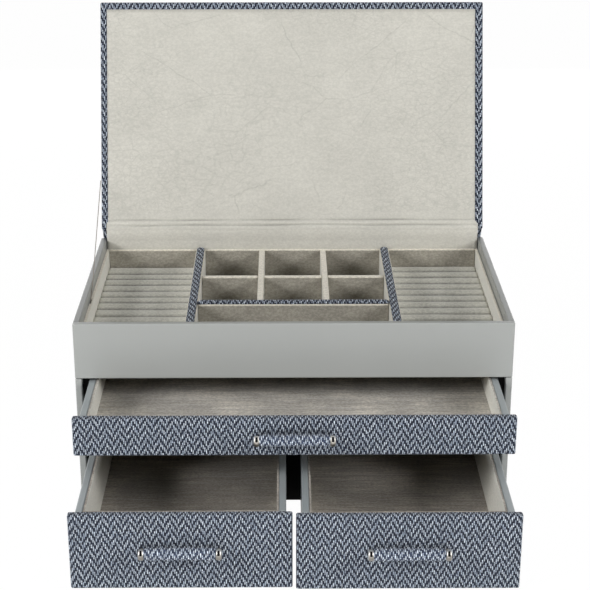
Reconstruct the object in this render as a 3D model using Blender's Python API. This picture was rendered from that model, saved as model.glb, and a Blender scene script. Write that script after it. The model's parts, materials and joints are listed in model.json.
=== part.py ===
"""Jewellery chest: lacquered case, cloth-covered lid, lined tray and three drawers.

Metres, +Z up. X runs along the front, Y runs from the front to the back, and the chest stands on
Z = 0, with the origin under the middle of the open chest. It is built as it rests: the lid leans
back on its stay and the drawers are pulled out.
"""
import math

import bmesh
import bpy
from mathutils import Vector

# ---- Case ----------------------------------------------------------------------------------
CASE_W = 0.3300            # over the side panels
CASE_D = 0.1980            # front face to back face
FRONT_Y = -0.0677          # front face, so that the open chest is centred on the origin
PANEL = 0.0048             # side, fascia, rail and back boards
FIT = 0.0003               # gap left where one glued piece meets the next
FASCIA_H = 0.0444          # plain board in front of the tray
RAIL_H = 0.0199            # plain board between the wide drawer and the lower pair
TOP_REVEAL = 0.0023        # open line above a drawer front
REVEAL = 0.0005            # open line below the wide front
FRONTS_GAP = 0.0025        # open line between the two lower fronts
LOWER_MIDDLE = -0.0006     # that line's middle, off the case's middle
FLOOR_GAP = 0.0004         # lower fronts to the table
BACK_DROP = 0.0014         # the back board stops this far below the rim, for the hinge cloth
BOARD_EDGE = 0.0007        # rounding of lacquered edges
COVERED_EDGE = 0.0006      # rounding of velvet edges

# ---- Bays behind the fronts ----------------------------------------------------------------
BASE_LIFT = 0.0065         # base board above the table
BASE_T = 0.0032
SHELF_T = 0.0040
FLOOR_T = 0.0054           # tray floor and its pad
RUN = 0.0005               # side clearance of a drawer in its bay
HEADROOM = 0.0011          # clearance over a lower drawer's sides
BAY_SETBACK = 0.0008       # closed front to the bay boards' front edges

# ---- Drawers -------------------------------------------------------------------------------
FRONT_T = 0.0060
WIDE_FRONT_H = 0.0297
LOWER_FRONT_H = 0.0590
FRONT_SIDE_GAP = 0.0005    # front's end to the side panel
FRONT_EDGE = 0.0012        # rounding of a cloth-wrapped edge
FRONT_OVERHANG = 0.0050    # front's end beyond the drawer's side
SIDE_T = 0.0050
SIDE_DROP = 0.0002         # side's top edge below the front's
WIDE_SIDE_H = 0.0246
DRAWER_L = 0.1915          # front face to the back of the box
CARD_T = 0.0030            # drawer bottom
LINING_T = 0.0014          # velvet tub, walls
LINING_FLOOR = 0.0012
LINING_DROP = 0.0005       # tub's edge below the drawer's sides
CENTRE_GAP = 0.0112        # between the lower drawers' inner sides
WIDE_PULL = 0.0651         # how far each drawer stands open
LEFT_PULL = 0.1115
RIGHT_PULL = 0.1137

# ---- Handles -------------------------------------------------------------------------------
PULL_SPACING = 0.0544      # between the two posts
PULL_STANDOFF = 0.0088     # bar's axis in front of the drawer's face
WIDE_PULL_RISE = 0.0015    # bar's axis above the wide front's middle
LOWER_PULL_RISE = 0.0037   # and above a lower front's middle
BAR_R = 0.0043
COLLAR_R = 0.0041
COLLAR_T = 0.0038
STEM_R = 0.0015
FLANGE_R = 0.0027
FLANGE_T = 0.0008
BAR_END = 0.0007           # rounding of the bar's ends
COLLAR_EDGE = 0.0012       # rounding of a post's head

# ---- Tray ----------------------------------------------------------------------------------
LINER_T = 0.0030           # front and rear liners
SIDE_LINER_T = 0.0020
LINER_DROP = 0.0083        # liner's top edge below the rim
HINGE_SPACE = 0.0011       # back board to the rear liner
BROAD_T = 0.0079           # dividers that carry a cloth cap
THIN_T = 0.0048            # plain velvet dividers
BAY_LINE = 0.0789          # broad dividers' centre lines, each side of the middle
CELL_LINE = 0.0262         # thin dividers' centre lines, each side of the middle
FRONT_CELL = 0.0632        # front face to the broad cross divider's centre line
MIDDLE_CELL = 0.1240       # front face to the thin cross divider's centre line
CAP_W = 0.0063
CAP_H = 0.0022
CAP_FULLNESS = 0.6         # power of the cap's arch: below 1 is squarer than round
ROLL_PITCH = 0.0136
ROLL_RISE = 0.0055         # groove to crest
ROLL_DROP = 0.0228         # crest below the rim
ROLL_FULLNESS = 0.7        # power of a roll's arch
STAY_SLOT_D = 0.0011       # slot in the left liner for the stay
STAY_SLOT_W = 0.0100

# ---- Lid, hinge cloth and stay --------------------------------------------------------------
LID_SIDE_IN = 0.0013       # lid's end in from the case's side
LID_FRONT_IN = 0.0038      # closed lid's edge behind the case's front
LID_T = 0.0070
LID_SEAT = 0.0003          # closed lid above the rim
LID_CORNER = 0.0012
LID_MARGIN = 0.0064        # cloth border round the lid's lining
LID_LINING_T = 0.0008
LINING_START = 0.0078      # lining's lower edge above the lid's hinged edge
LID_OPEN = math.radians(109.3)
CLOTH_T = 0.0005
CLOTH_TUCK = 0.0060        # hinge cloth below the rear liner's top edge
CLOTH_END = 0.0010         # hinge cloth's end to the side panel
SPINE_T = 0.0007           # cloth-covered card behind the fold
SPINE_DROP = 0.0140        # spine's lower edge below the rim
SPINE_IN = 0.0020          # spine's end in from the case's side
SPINE_FLARE = 0.0006       # spine widens by this at each end, up to the lid
STAY_R = 0.00035
STAY_UP = 0.0420           # stay's upper end above the lid's hinged edge
STAY_BEHIND = 0.0015       # and behind the lid's inner face
STAY_OVER = (0.0885, 0.0010)    # where it passes the wall: behind the front face, above the rim
STAY_IN = (0.0690, -0.0085)     # where it enters the slot
STAY_END = (0.0672, -0.0200)    # where it is glued behind the liner

# ---- Worked out from the above -------------------------------------------------------------
BACK_Y = FRONT_Y + CASE_D
LID_L = CASE_D - LID_FRONT_IN
OUT_X = CASE_W / 2
IN_X = OUT_X - PANEL                      # side panel's inner face
IN_FRONT_Y = FRONT_Y + PANEL
IN_BACK_Y = BACK_Y - PANEL

LOWER_BOTTOM = FLOOR_GAP
LOWER_TOP = LOWER_BOTTOM + LOWER_FRONT_H
RAIL_BOTTOM = LOWER_TOP + TOP_REVEAL
RAIL_TOP = RAIL_BOTTOM + RAIL_H
WIDE_BOTTOM = RAIL_TOP + REVEAL
WIDE_TOP = WIDE_BOTTOM + WIDE_FRONT_H
FASCIA_BOTTOM = WIDE_TOP + TOP_REVEAL
RIM = FASCIA_BOTTOM + FASCIA_H

FRONT_END_X = IN_X - FRONT_SIDE_GAP
BOX_X = FRONT_END_X - FRONT_OVERHANG      # outer face of an outer drawer side
BAY_X = BOX_X + RUN
BAY_FRONT_Y = FRONT_Y + FRONT_T + BAY_SETBACK
BAY_BACK_Y = IN_BACK_Y - FIT
BASE_TOP = BASE_LIFT + BASE_T
LOWER_UNDER = BASE_TOP + FIT              # lower drawers' underside
LOWER_SIDE_TOP = LOWER_TOP - SIDE_DROP
CEILING = LOWER_SIDE_TOP + HEADROOM
WIDE_SIDE_TOP = WIDE_TOP - SIDE_DROP
WIDE_UNDER = WIDE_SIDE_TOP - WIDE_SIDE_H
SHELF_TOP = WIDE_UNDER - FIT
FLOOR_UNDER = FASCIA_BOTTOM
FLOOR_TOP = FLOOR_UNDER + FLOOR_T

LINER_X = IN_X - FIT                      # side liner's outer face
CELL_X = LINER_X - SIDE_LINER_T           # side liner's inner face
LINER_FRONT_Y = IN_FRONT_Y + FIT
CELL_FRONT_Y = LINER_FRONT_Y + LINER_T    # front liner's inner face
LINER_BACK_Y = IN_BACK_Y - HINGE_SPACE
CELL_BACK_Y = LINER_BACK_Y - LINER_T      # rear liner's inner face
TRAY_Z = FLOOR_TOP + FIT
LINER_TOP = RIM - LINER_DROP
CAP_Z = LINER_TOP + FIT
FRONT_CELL_Y = FRONT_Y + FRONT_CELL
MIDDLE_CELL_Y = FRONT_Y + MIDDLE_CELL

HINGE_Y = BACK_Y                          # the lid turns on its upper back edge
HINGE_Z = RIM + LID_SEAT + LID_T


# ---- Materials -----------------------------------------------------------------------------
def material(name, colour, roughness, metallic=0.0):
    """Make a Principled material with one flat colour."""
    made = bpy.data.materials.new(name)
    made.use_nodes = True
    shader = made.node_tree.nodes["Principled BSDF"]
    shader.inputs["Base Color"].default_value = (*colour, 1.0)
    shader.inputs["Roughness"].default_value = roughness
    shader.inputs["Metallic"].default_value = metallic
    made.diffuse_color = (*colour, 1.0)
    return made


def materials():
    """The finishes, by name."""
    return {
        "lacquer": material("grey_lacquer", (0.42, 0.43, 0.44), 0.35),
        "cloth": material("herringbone_cloth", (0.20, 0.25, 0.32), 0.90),
        "velvet": material("warm_velvet", (0.56, 0.53, 0.48), 0.95),
        "black": material("black_card", (0.02, 0.02, 0.02), 0.85),
        "nickel": material("polished_nickel", (0.72, 0.70, 0.67), 0.15, 1.0),
        "thread": material("grey_stay", (0.45, 0.44, 0.42), 0.60),
    }


# ---- Shape helpers -------------------------------------------------------------------------
def place(name, mesh, finish, centre=(0.0, 0.0, 0.0), parent=None):
    """Link a mesh as a named object, at a point of its parent's space."""
    made = bpy.data.objects.new(name, mesh)
    bpy.context.scene.collection.objects.link(made)
    made.data.materials.append(finish)
    made.parent = parent
    made.location = centre
    return made


def round_edges(target, width, segments=2, angle=40.0):
    """Round the sharp edges with a Bevel modifier."""
    bevel = target.modifiers.new("rounded_edges", 'BEVEL')
    bevel.width = width
    bevel.segments = segments
    bevel.limit_method = 'ANGLE'
    bevel.angle_limit = math.radians(angle)
    return target


def board(name, finish, x, y, z, edge=0.0, parent=None):
    """A flat board between two values on each axis, its origin in its middle."""
    low = Vector((x[0], y[0], z[0]))
    high = Vector((x[1], y[1], z[1]))
    shape = bmesh.new()
    bmesh.ops.create_cube(shape, size=1.0)
    bmesh.ops.scale(shape, vec=high - low, verts=shape.verts)
    mesh = bpy.data.meshes.new(name)
    shape.to_mesh(mesh)
    shape.free()
    made = place(name, mesh, finish, (low + high) / 2, parent)
    if edge:
        round_edges(made, edge)
    return made


def extrusion(name, finish, outline, axis, start, end, parent=None):
    """Extrude a closed outline along X, Y or Z.

    The outline's points are (y, z) for X, (x, z) for Y and (x, y) for Z.
    """
    def corner(u, v):
        return {'X': (start, u, v), 'Y': (u, start, v), 'Z': (u, v, start)}[axis]

    travel = {'X': (end - start, 0, 0), 'Y': (0, end - start, 0), 'Z': (0, 0, end - start)}[axis]
    shape = bmesh.new()
    face = shape.faces.new([shape.verts.new(corner(u, v)) for u, v in outline])
    grown = bmesh.ops.extrude_face_region(shape, geom=[face])
    moved = [item for item in grown["geom"] if isinstance(item, bmesh.types.BMVert)]
    bmesh.ops.translate(shape, vec=travel, verts=moved)
    bmesh.ops.recalc_face_normals(shape, faces=shape.faces)
    mesh = bpy.data.meshes.new(name)
    shape.to_mesh(mesh)
    shape.free()
    return place(name, mesh, finish, parent=parent)


def turned(shape, profile, axis, centre, steps=24):
    """Spin a profile of (radius, height) points about an axis; its ends lie on the axis."""
    side = {'X': Vector((0, 0, 1)), 'Y': Vector((1, 0, 0))}[axis]
    along = {'X': Vector((1, 0, 0)), 'Y': Vector((0, 1, 0))}[axis]
    points = [Vector(centre) + side * radius + along * height for radius, height in profile]
    verts = [shape.verts.new(point) for point in points]
    edges = [shape.edges.new(pair) for pair in zip(verts, verts[1:])]
    bmesh.ops.spin(shape, geom=verts + edges, cent=centre, axis=along, angle=math.tau,
                   steps=steps, use_merge=True)
    bmesh.ops.remove_doubles(shape, verts=shape.verts, dist=0.00001)
    bmesh.ops.recalc_face_normals(shape, faces=shape.faces)


def mesh_of(name, shape, smooth=True):
    """Turn a bmesh into a mesh, smooth-shaded for round pieces."""
    mesh = bpy.data.meshes.new(name)
    shape.to_mesh(mesh)
    shape.free()
    for polygon in mesh.polygons:
        polygon.use_smooth = smooth
    return mesh


def barrel(radius, half_length, edge, steps=4):
    """Profile of a short drum with rounded ends."""
    points = [(0.0, -half_length)]
    for end in (-1, 1):
        arc = []
        for step in range(steps + 1):
            turn = math.pi / 2 * step / steps
            arc.append((radius - edge + edge * math.sin(turn),
                        end * (half_length - edge + edge * math.cos(turn))))
        points += arc if end < 0 else reversed(arc)
    points.append((0.0, half_length))
    return points


# ---- Case ----------------------------------------------------------------------------------
def side_panel(name, side, finish):
    """A side board, stepped back at the top front where the fascia crosses it."""
    step_y = IN_FRONT_Y + FIT
    step_z = FASCIA_BOTTOM - FIT
    outline = [(FRONT_Y, 0.0), (BACK_Y, 0.0), (BACK_Y, RIM), (step_y, RIM), (step_y, step_z),
               (FRONT_Y, step_z)]
    made = extrusion(name, finish, outline, 'X', side * IN_X, side * OUT_X)
    return round_edges(made, BOARD_EDGE)


def build_case(finish):
    """The lacquered shell and the black bays inside it."""
    lacquer = finish["lacquer"]
    black = finish["black"]
    side_panel("side_panel_left", -1, lacquer)
    side_panel("side_panel_right", 1, lacquer)
    board("fascia", lacquer, (-OUT_X, OUT_X), (FRONT_Y, IN_FRONT_Y), (FASCIA_BOTTOM, RIM),
          BOARD_EDGE)
    inner = (-IN_X + FIT, IN_X - FIT)
    board("front_rail", lacquer, inner, (FRONT_Y, IN_FRONT_Y), (RAIL_BOTTOM, RAIL_TOP),
          BOARD_EDGE)
    board("back_panel", lacquer, inner, (IN_BACK_Y, BACK_Y), (0.0, RIM - BACK_DROP), BOARD_EDGE)

    depth = (BAY_FRONT_Y, BAY_BACK_Y)
    between = (-BAY_X + FIT, BAY_X - FIT)
    board("base_panel", black, inner, depth, (BASE_LIFT, BASE_TOP))
    for label, side in (("left", -1), ("right", 1)):
        faces = sorted((side * BAY_X, side * (IN_X - FIT)))
        board(f"bay_side_{label}", black, faces, depth, (BASE_TOP + FIT, FLOOR_UNDER - FIT))
    board("drawer_shelf", black, between, depth, (SHELF_TOP - SHELF_T, SHELF_TOP))
    board("bay_ceiling", black, between, depth, (CEILING, CEILING + SHELF_T))
    half = CENTRE_GAP / 2 - RUN
    board("bay_divider", black, (LOWER_MIDDLE - half, LOWER_MIDDLE + half), depth,
          (BASE_TOP + FIT, CEILING - FIT))


# ---- Tray ----------------------------------------------------------------------------------
def slotted_liner(name, finish):
    """The left liner, with a slot in its outer face that the stay drops into."""
    middle = FRONT_Y + (STAY_IN[0] + STAY_END[0]) / 2
    low = middle - STAY_SLOT_W / 2
    high = middle + STAY_SLOT_W / 2
    floor_x = -LINER_X + STAY_SLOT_D
    outline = [(-LINER_X, LINER_FRONT_Y), (-CELL_X, LINER_FRONT_Y), (-CELL_X, LINER_BACK_Y),
               (-LINER_X, LINER_BACK_Y), (-LINER_X, high), (floor_x, high), (floor_x, low),
               (-LINER_X, low)]
    return extrusion(name, finish, outline, 'Z', TRAY_Z, LINER_TOP)


def cap(name, finish, centre, start, end, axis):
    """A half-round strip of cloth on top of a broad divider, along X or Y."""
    half = CAP_W / 2
    outline = [(centre - half, CAP_Z), (centre + half, CAP_Z)]
    steps = 8
    for step in range(1, steps):
        turn = math.pi * step / steps
        outline.append((centre + half * math.cos(turn), CAP_Z + CAP_H * math.sin(turn) ** CAP_FULLNESS))
    made = extrusion(name, finish, outline, axis, start, end)
    for polygon in made.data.polygons:
        polygon.use_smooth = True
    return made


def ring_rolls(name, finish, side):
    """A bed of padded rolls; rings stand in the grooves between them."""
    crest = RIM - ROLL_DROP
    groove = crest - ROLL_RISE
    low_y = CELL_FRONT_Y + FIT
    high_y = CELL_BACK_Y - FIT
    outline = [(low_y, TRAY_Z), (high_y, TRAY_Z), (high_y, groove)]
    steps = 8
    rolls = int((high_y - low_y) / ROLL_PITCH)
    for roll in range(rolls):
        start = high_y - roll * ROLL_PITCH
        end = start - ROLL_PITCH if roll < rolls - 1 else low_y
        for step in range(1, steps + 1):
            share = step / steps
            lift = math.sin(math.pi * share) ** ROLL_FULLNESS if step < steps else 0.0
            outline.append((start + share * (end - start), groove + ROLL_RISE * lift))
    inner = BAY_LINE + BROAD_T / 2 + FIT
    outer = CELL_X - FIT
    return extrusion(name, finish, outline, 'X', side * inner, side * outer)


def slotted_outline(along, height, slots, from_top):
    """Outline of a thin divider with half-depth slots where other dividers cross it."""
    middle = (height[0] + height[1]) / 2
    depth = middle - FIT / 2 if from_top else middle + FIT / 2
    slotted = height[1] if from_top else height[0]
    plain = height[0] if from_top else height[1]
    half = THIN_T / 2 + FIT
    edge = [(along[0], slotted)]
    for slot in slots:
        edge += [(slot - half, slotted), (slot - half, depth), (slot + half, depth),
                 (slot + half, slotted)]
    edge.append((along[1], slotted))
    return edge + [(along[1], plain), (along[0], plain)]


def build_tray(finish):
    """Velvet-lined top tray: liners, dividers, cloth caps and ring rolls."""
    velvet = finish["velvet"]
    cloth = finish["cloth"]
    floor_y = (IN_FRONT_Y + FIT, IN_BACK_Y - FIT)
    board("tray_floor", velvet, (-IN_X + FIT, IN_X - FIT), floor_y, (FLOOR_UNDER, FLOOR_TOP))

    height = (TRAY_Z, LINER_TOP)
    slotted_liner("tray_liner_left", velvet)
    board("tray_liner_right", velvet, (CELL_X, LINER_X), (LINER_FRONT_Y, LINER_BACK_Y), height,
          COVERED_EDGE)
    across = (-CELL_X + FIT, CELL_X - FIT)
    board("tray_liner_front", velvet, across, (LINER_FRONT_Y, CELL_FRONT_Y), height,
          COVERED_EDGE)
    board("tray_liner_rear", velvet, across, (CELL_BACK_Y, LINER_BACK_Y), height, COVERED_EDGE)

    bay_y = (CELL_FRONT_Y + FIT, CELL_BACK_Y - FIT)
    cap_y = (IN_FRONT_Y + FIT, LINER_BACK_Y)
    for label, side in (("left", -1), ("right", 1)):
        line = side * BAY_LINE
        board(f"broad_divider_{label}", velvet, (line - BROAD_T / 2, line + BROAD_T / 2), bay_y,
              height, COVERED_EDGE)
        cap(f"divider_cap_{label}", cloth, line, *cap_y, 'Y')
        ring_rolls(f"ring_rolls_{label}", velvet, side)

    bay_x = BAY_LINE - BROAD_T / 2 - FIT
    board("broad_divider_cross", velvet, (-bay_x, bay_x),
          (FRONT_CELL_Y - BROAD_T / 2, FRONT_CELL_Y + BROAD_T / 2), height, COVERED_EDGE)
    cap_x = BAY_LINE - CAP_W / 2 - FIT
    cap("divider_cap_cross", cloth, FRONT_CELL_Y, -cap_x, cap_x, 'X')

    cell_y = (FRONT_CELL_Y + BROAD_T / 2 + FIT, CELL_BACK_Y - FIT)
    for label, side in (("left", -1), ("right", 1)):
        line = side * CELL_LINE
        slot = slotted_outline(cell_y, height, [MIDDLE_CELL_Y], from_top=False)
        made = extrusion(f"cell_divider_{label}", velvet, slot, 'X', line - THIN_T / 2,
                         line + THIN_T / 2)
        round_edges(made, COVERED_EDGE)
    slots = slotted_outline((-bay_x, bay_x), height, [-CELL_LINE, CELL_LINE], from_top=True)
    made = extrusion("cell_cross_divider", velvet, slots, 'Y', MIDDLE_CELL_Y - THIN_T / 2,
                     MIDDLE_CELL_Y + THIN_T / 2)
    round_edges(made, COVERED_EDGE)


# ---- Drawers -------------------------------------------------------------------------------
def lining_tub(name, finish, x, y, z, parent):
    """A thin velvet tub: an open box shelled from one block."""
    shape = bmesh.new()
    bmesh.ops.create_cube(shape, size=1.0)
    bmesh.ops.scale(shape, vec=(x[1] - x[0], y[1] - y[0], z[1] - z[0]), verts=shape.verts)
    top = max(shape.faces, key=lambda face: face.calc_center_median().z)
    bmesh.ops.inset_region(shape, faces=[top], thickness=LINING_T, use_even_offset=True)
    sunk = bmesh.ops.extrude_face_region(shape, geom=[top])
    bmesh.ops.delete(shape, geom=[top], context='FACES_ONLY')
    floor = [item for item in sunk["geom"] if isinstance(item, bmesh.types.BMVert)]
    bmesh.ops.translate(shape, vec=(0, 0, LINING_FLOOR - (z[1] - z[0])), verts=floor)
    bmesh.ops.recalc_face_normals(shape, faces=shape.faces)
    centre = ((x[0] + x[1]) / 2, (y[0] + y[1]) / 2, (z[0] + z[1]) / 2)
    return place(name, mesh_of(name, shape, smooth=False), finish, centre, parent)


def handle(label, finish, middle_x, middle_z, parent):
    """A cloth-wrapped bar between two nickel posts."""
    axis_y = -PULL_STANDOFF
    reach = PULL_SPACING / 2
    half_bar = reach - COLLAR_T / 2 - FIT
    bar = bmesh.new()
    turned(bar, barrel(BAR_R, half_bar, BAR_END, 2), 'X', (0, 0, 0))
    place(f"{label}_pull_bar", mesh_of("bar", bar), finish["cloth"],
          (middle_x, axis_y, middle_z), parent)

    for end, side in (("left", -1), ("right", 1)):
        head = bmesh.new()
        turned(head, barrel(COLLAR_R, COLLAR_T / 2, COLLAR_EDGE), 'X', (0, 0, 0))
        post = place(f"{label}_pull_post_{end}", mesh_of("post", head), finish["nickel"],
                     (middle_x + side * reach, axis_y, middle_z), parent)
        stem = bmesh.new()
        root = PULL_STANDOFF - FIT
        turned(stem, [(0, 0), (STEM_R, 0), (STEM_R, root - FLANGE_T * 2),
                      (FLANGE_R, root - FLANGE_T), (FLANGE_R, root), (0, root)],
               'Y', (0, 0, 0), 16)
        cutter = place(f"{label}_stem_{end}", mesh_of("stem", stem), finish["nickel"], (0, 0, 0),
                       post)
        cutter.hide_render = True
        cutter.display_type = 'WIRE'
        union = post.modifiers.new("stem", 'BOOLEAN')
        union.operation = 'UNION'
        union.solver = 'EXACT'
        union.object = cutter
        STEMS.append((post, cutter))


STEMS = []


def join_stems():
    """Fix each post's union with its stem, and drop the helper objects."""
    bpy.context.view_layer.update()
    for post, stem in STEMS:
        view = bpy.context.evaluated_depsgraph_get()
        merged = bpy.data.meshes.new_from_object(post.evaluated_get(view))
        for polygon in merged.polygons:
            polygon.use_smooth = True
        post.modifiers.clear()
        post.data = merged
    for post, stem in STEMS:
        bpy.data.objects.remove(stem, do_unlink=True)
    STEMS.clear()


def drawer(label, finish, front_x, box_x, side_top, underside, front_z, pull, rise):
    """One drawer, parented to an empty on its slide at the front face's lower middle."""
    middle = (front_x[0] + front_x[1]) / 2
    slide = bpy.data.objects.new(f"{label}_slide", None)
    bpy.context.scene.collection.objects.link(slide)
    slide.location = (middle, FRONT_Y - pull, underside)

    def across(low, high):
        return (low - middle, high - middle)

    lacquer = finish["lacquer"]
    height = (0.0, side_top - underside)
    back = (FRONT_T + FIT, DRAWER_L)
    board(f"{label}_front", finish["cloth"], across(*front_x), (0.0, FRONT_T),
          (front_z[0] - underside, front_z[1] - underside), FRONT_EDGE, slide)
    board(f"{label}_side_left", lacquer, across(box_x[0], box_x[0] + SIDE_T), back, height,
          BOARD_EDGE, slide)
    board(f"{label}_side_right", lacquer, across(box_x[1] - SIDE_T, box_x[1]), back, height,
          BOARD_EDGE, slide)
    inner = (box_x[0] + SIDE_T + FIT, box_x[1] - SIDE_T - FIT)
    board(f"{label}_back", lacquer, across(*inner), (DRAWER_L - SIDE_T, DRAWER_L), height,
          BOARD_EDGE, slide)
    tub_y = (FRONT_T + FIT, DRAWER_L - SIDE_T - FIT)
    board(f"{label}_bottom", finish["black"], across(*inner), tub_y, (0.0, CARD_T), 0.0, slide)
    lining_tub(f"{label}_lining", finish["velvet"], across(*inner), tub_y,
               (CARD_T + FIT, height[1] - LINING_DROP), slide)
    handle(label, finish, 0.0, (front_z[0] + front_z[1]) / 2 + rise - underside, slide)


def build_drawers(finish):
    """A wide drawer over a pair of deep ones."""
    drawer("wide_drawer", finish, (-FRONT_END_X, FRONT_END_X), (-BOX_X, BOX_X), WIDE_SIDE_TOP,
           WIDE_UNDER, (WIDE_BOTTOM, WIDE_TOP), WIDE_PULL, WIDE_PULL_RISE)
    for label, side, pull in (("left_drawer", -1, LEFT_PULL), ("right_drawer", 1, RIGHT_PULL)):
        front_x = sorted((LOWER_MIDDLE + side * FRONTS_GAP / 2, side * FRONT_END_X))
        box_x = sorted((LOWER_MIDDLE + side * CENTRE_GAP / 2, side * BOX_X))
        drawer(label, finish, front_x, box_x, LOWER_SIDE_TOP, LOWER_UNDER,
               (LOWER_BOTTOM, LOWER_TOP), pull, LOWER_PULL_RISE)


# ---- Lid -----------------------------------------------------------------------------------
def lid_point(up, out=0.0):
    """A point beside the lid's inner face as it rests: up from the hinged edge, and off it."""
    closed_y = -up
    closed_z = -LID_T - out
    turn = LID_OPEN
    return (HINGE_Y + closed_y * math.cos(turn) + closed_z * math.sin(turn),
            HINGE_Z - closed_y * math.sin(turn) + closed_z * math.cos(turn))


def build_lid(finish):
    """The lid hangs on an empty whose X axis is the fold of the hinge cloth."""
    pivot = bpy.data.objects.new("lid_pivot", None)
    bpy.context.scene.collection.objects.link(pivot)
    pivot.location = (0.0, HINGE_Y, HINGE_Z)
    pivot.rotation_euler = (-LID_OPEN, 0.0, 0.0)

    half = OUT_X - LID_SIDE_IN
    outline = []
    for x_sign, y_far, start in ((1, False, 0), (-1, False, 90), (-1, True, 180), (1, True, 270)):
        centre_x = x_sign * (half - LID_CORNER)
        centre_y = -LID_L + LID_CORNER if y_far else -LID_CORNER
        for step in range(4):
            turn = math.radians(start + 30 * step)
            outline.append((centre_x + LID_CORNER * math.cos(turn),
                            centre_y + LID_CORNER * math.sin(turn)))
    lid = extrusion("lid_board", finish["cloth"], outline, 'Z', -LID_T, 0.0, pivot)
    round_edges(lid, COVERED_EDGE, angle=60.0)
    board("lid_lining", finish["velvet"], (LID_MARGIN - half, half - LID_MARGIN),
          (LID_MARGIN - LID_L, -LINING_START),
          (-LID_T - FIT - LID_LINING_T, -LID_T - FIT), 0.0, pivot)
    return pivot


def build_hinge_cloth(finish):
    """A cloth strip glued to the lid's inner face and down the back board's inner face."""
    face = lid_point(LINING_START - 2 * FIT, FIT)
    edge = lid_point(0.0, FIT)
    wall_y = IN_BACK_Y - FIT
    centre = [face, edge, (wall_y, RIM), (wall_y, LINER_TOP - CLOTH_TUCK)]
    half = IN_X - CLOTH_END
    shape = bmesh.new()
    rows = []
    for y, z in centre:
        rows.append([shape.verts.new((side * half, y, z)) for side in (-1, 1)])
    for low, high in zip(rows, rows[1:]):
        shape.faces.new((low[0], low[1], high[1], high[0]))
    bmesh.ops.recalc_face_normals(shape, faces=shape.faces)
    if sum(face.normal.y for face in shape.faces) > 0:
        bmesh.ops.reverse_faces(shape, faces=shape.faces)
    strip = place("hinge_cloth", mesh_of("hinge_cloth", shape, smooth=False), finish["velvet"])
    thick = strip.modifiers.new("cloth_thickness", 'SOLIDIFY')
    thick.thickness = CLOTH_T
    thick.offset = 1.0
    thick.use_even_offset = True
    return strip


def build_spine(finish):
    """A cloth-covered card on the back board's outer face, up to the lid's fold."""
    base = OUT_X - SPINE_IN
    top = HINGE_Z - FIT
    outline = [(-base, RIM - SPINE_DROP), (base, RIM - SPINE_DROP), (base, RIM),
               (base + SPINE_FLARE, top), (-base - SPINE_FLARE, top), (-base, RIM)]
    extrusion("spine_strip", finish["cloth"], outline, 'Y', BACK_Y + FIT, BACK_Y + FIT + SPINE_T)


def build_stay(finish):
    """A fine cord on the left that stops the lid: lid's edge, over the wall, behind the liner."""
    gap = STAY_R + FIT
    upper_y, upper_z = lid_point(STAY_UP, -STAY_BEHIND)
    inside_x = -IN_X + STAY_R + FIT / 2
    points = [(LID_SIDE_IN - OUT_X - gap, upper_y, upper_z)]
    for behind, above in (STAY_OVER, STAY_IN, STAY_END):
        points.append((inside_x, FRONT_Y + behind, RIM + above))
    curve = bpy.data.curves.new("lid_stay", 'CURVE')
    curve.dimensions = '3D'
    curve.bevel_depth = STAY_R
    curve.bevel_resolution = 2
    curve.use_fill_caps = True
    line = curve.splines.new('POLY')
    line.points.add(len(points) - 1)
    for spot, point in zip(line.points, points):
        spot.co = (*point, 1.0)
    stay = bpy.data.objects.new("lid_stay", curve)
    bpy.context.scene.collection.objects.link(stay)
    curve.materials.append(finish["thread"])
    return stay


def main():
    """Clear the scene and build the chest."""
    for item in list(bpy.data.objects):
        bpy.data.objects.remove(item, do_unlink=True)
    finish = materials()
    build_case(finish)
    build_tray(finish)
    build_drawers(finish)
    join_stems()
    build_lid(finish)
    build_hinge_cloth(finish)
    build_spine(finish)
    build_stay(finish)
    bpy.context.view_layer.update()


main()
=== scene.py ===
"""Looks for the jewellery chest: cloth, velvet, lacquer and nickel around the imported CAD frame."""
import json
import math

import bmesh
import bpy
from bpy.props import FloatProperty, FloatVectorProperty, PointerProperty
from mathutils import Matrix, Vector, noise


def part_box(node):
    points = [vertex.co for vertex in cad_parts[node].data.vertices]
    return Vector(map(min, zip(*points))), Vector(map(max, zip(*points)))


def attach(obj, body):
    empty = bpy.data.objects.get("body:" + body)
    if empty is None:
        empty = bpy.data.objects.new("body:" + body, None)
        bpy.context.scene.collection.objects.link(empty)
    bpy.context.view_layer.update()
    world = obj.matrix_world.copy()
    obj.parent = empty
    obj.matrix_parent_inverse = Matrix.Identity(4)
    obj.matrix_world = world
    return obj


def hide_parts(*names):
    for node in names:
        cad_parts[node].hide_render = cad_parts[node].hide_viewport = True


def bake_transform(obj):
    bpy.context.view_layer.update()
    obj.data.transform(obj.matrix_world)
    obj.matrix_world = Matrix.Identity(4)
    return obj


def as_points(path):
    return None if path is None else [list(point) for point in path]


bl_info = {
    "name": "Jewellery Chest Looks",
    "version": (1, 0, 0),
    "blender": (4, 5, 0),
    "location": "View3D > Sidebar > Chest",
    "description": "Covers, linings, pulls and studio for the jewellery chest",
    "category": "Object",
}

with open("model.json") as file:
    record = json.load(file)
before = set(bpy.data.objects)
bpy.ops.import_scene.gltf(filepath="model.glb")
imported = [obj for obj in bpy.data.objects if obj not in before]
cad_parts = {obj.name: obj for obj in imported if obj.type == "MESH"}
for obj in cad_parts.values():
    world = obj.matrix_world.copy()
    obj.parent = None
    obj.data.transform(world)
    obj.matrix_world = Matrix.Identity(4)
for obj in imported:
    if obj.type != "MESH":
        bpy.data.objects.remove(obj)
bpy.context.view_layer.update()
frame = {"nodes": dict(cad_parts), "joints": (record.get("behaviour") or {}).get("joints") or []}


def corners(node):
    """A CAD node's lower and upper corners."""
    low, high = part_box(node)
    return Vector(low), Vector(high)


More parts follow.
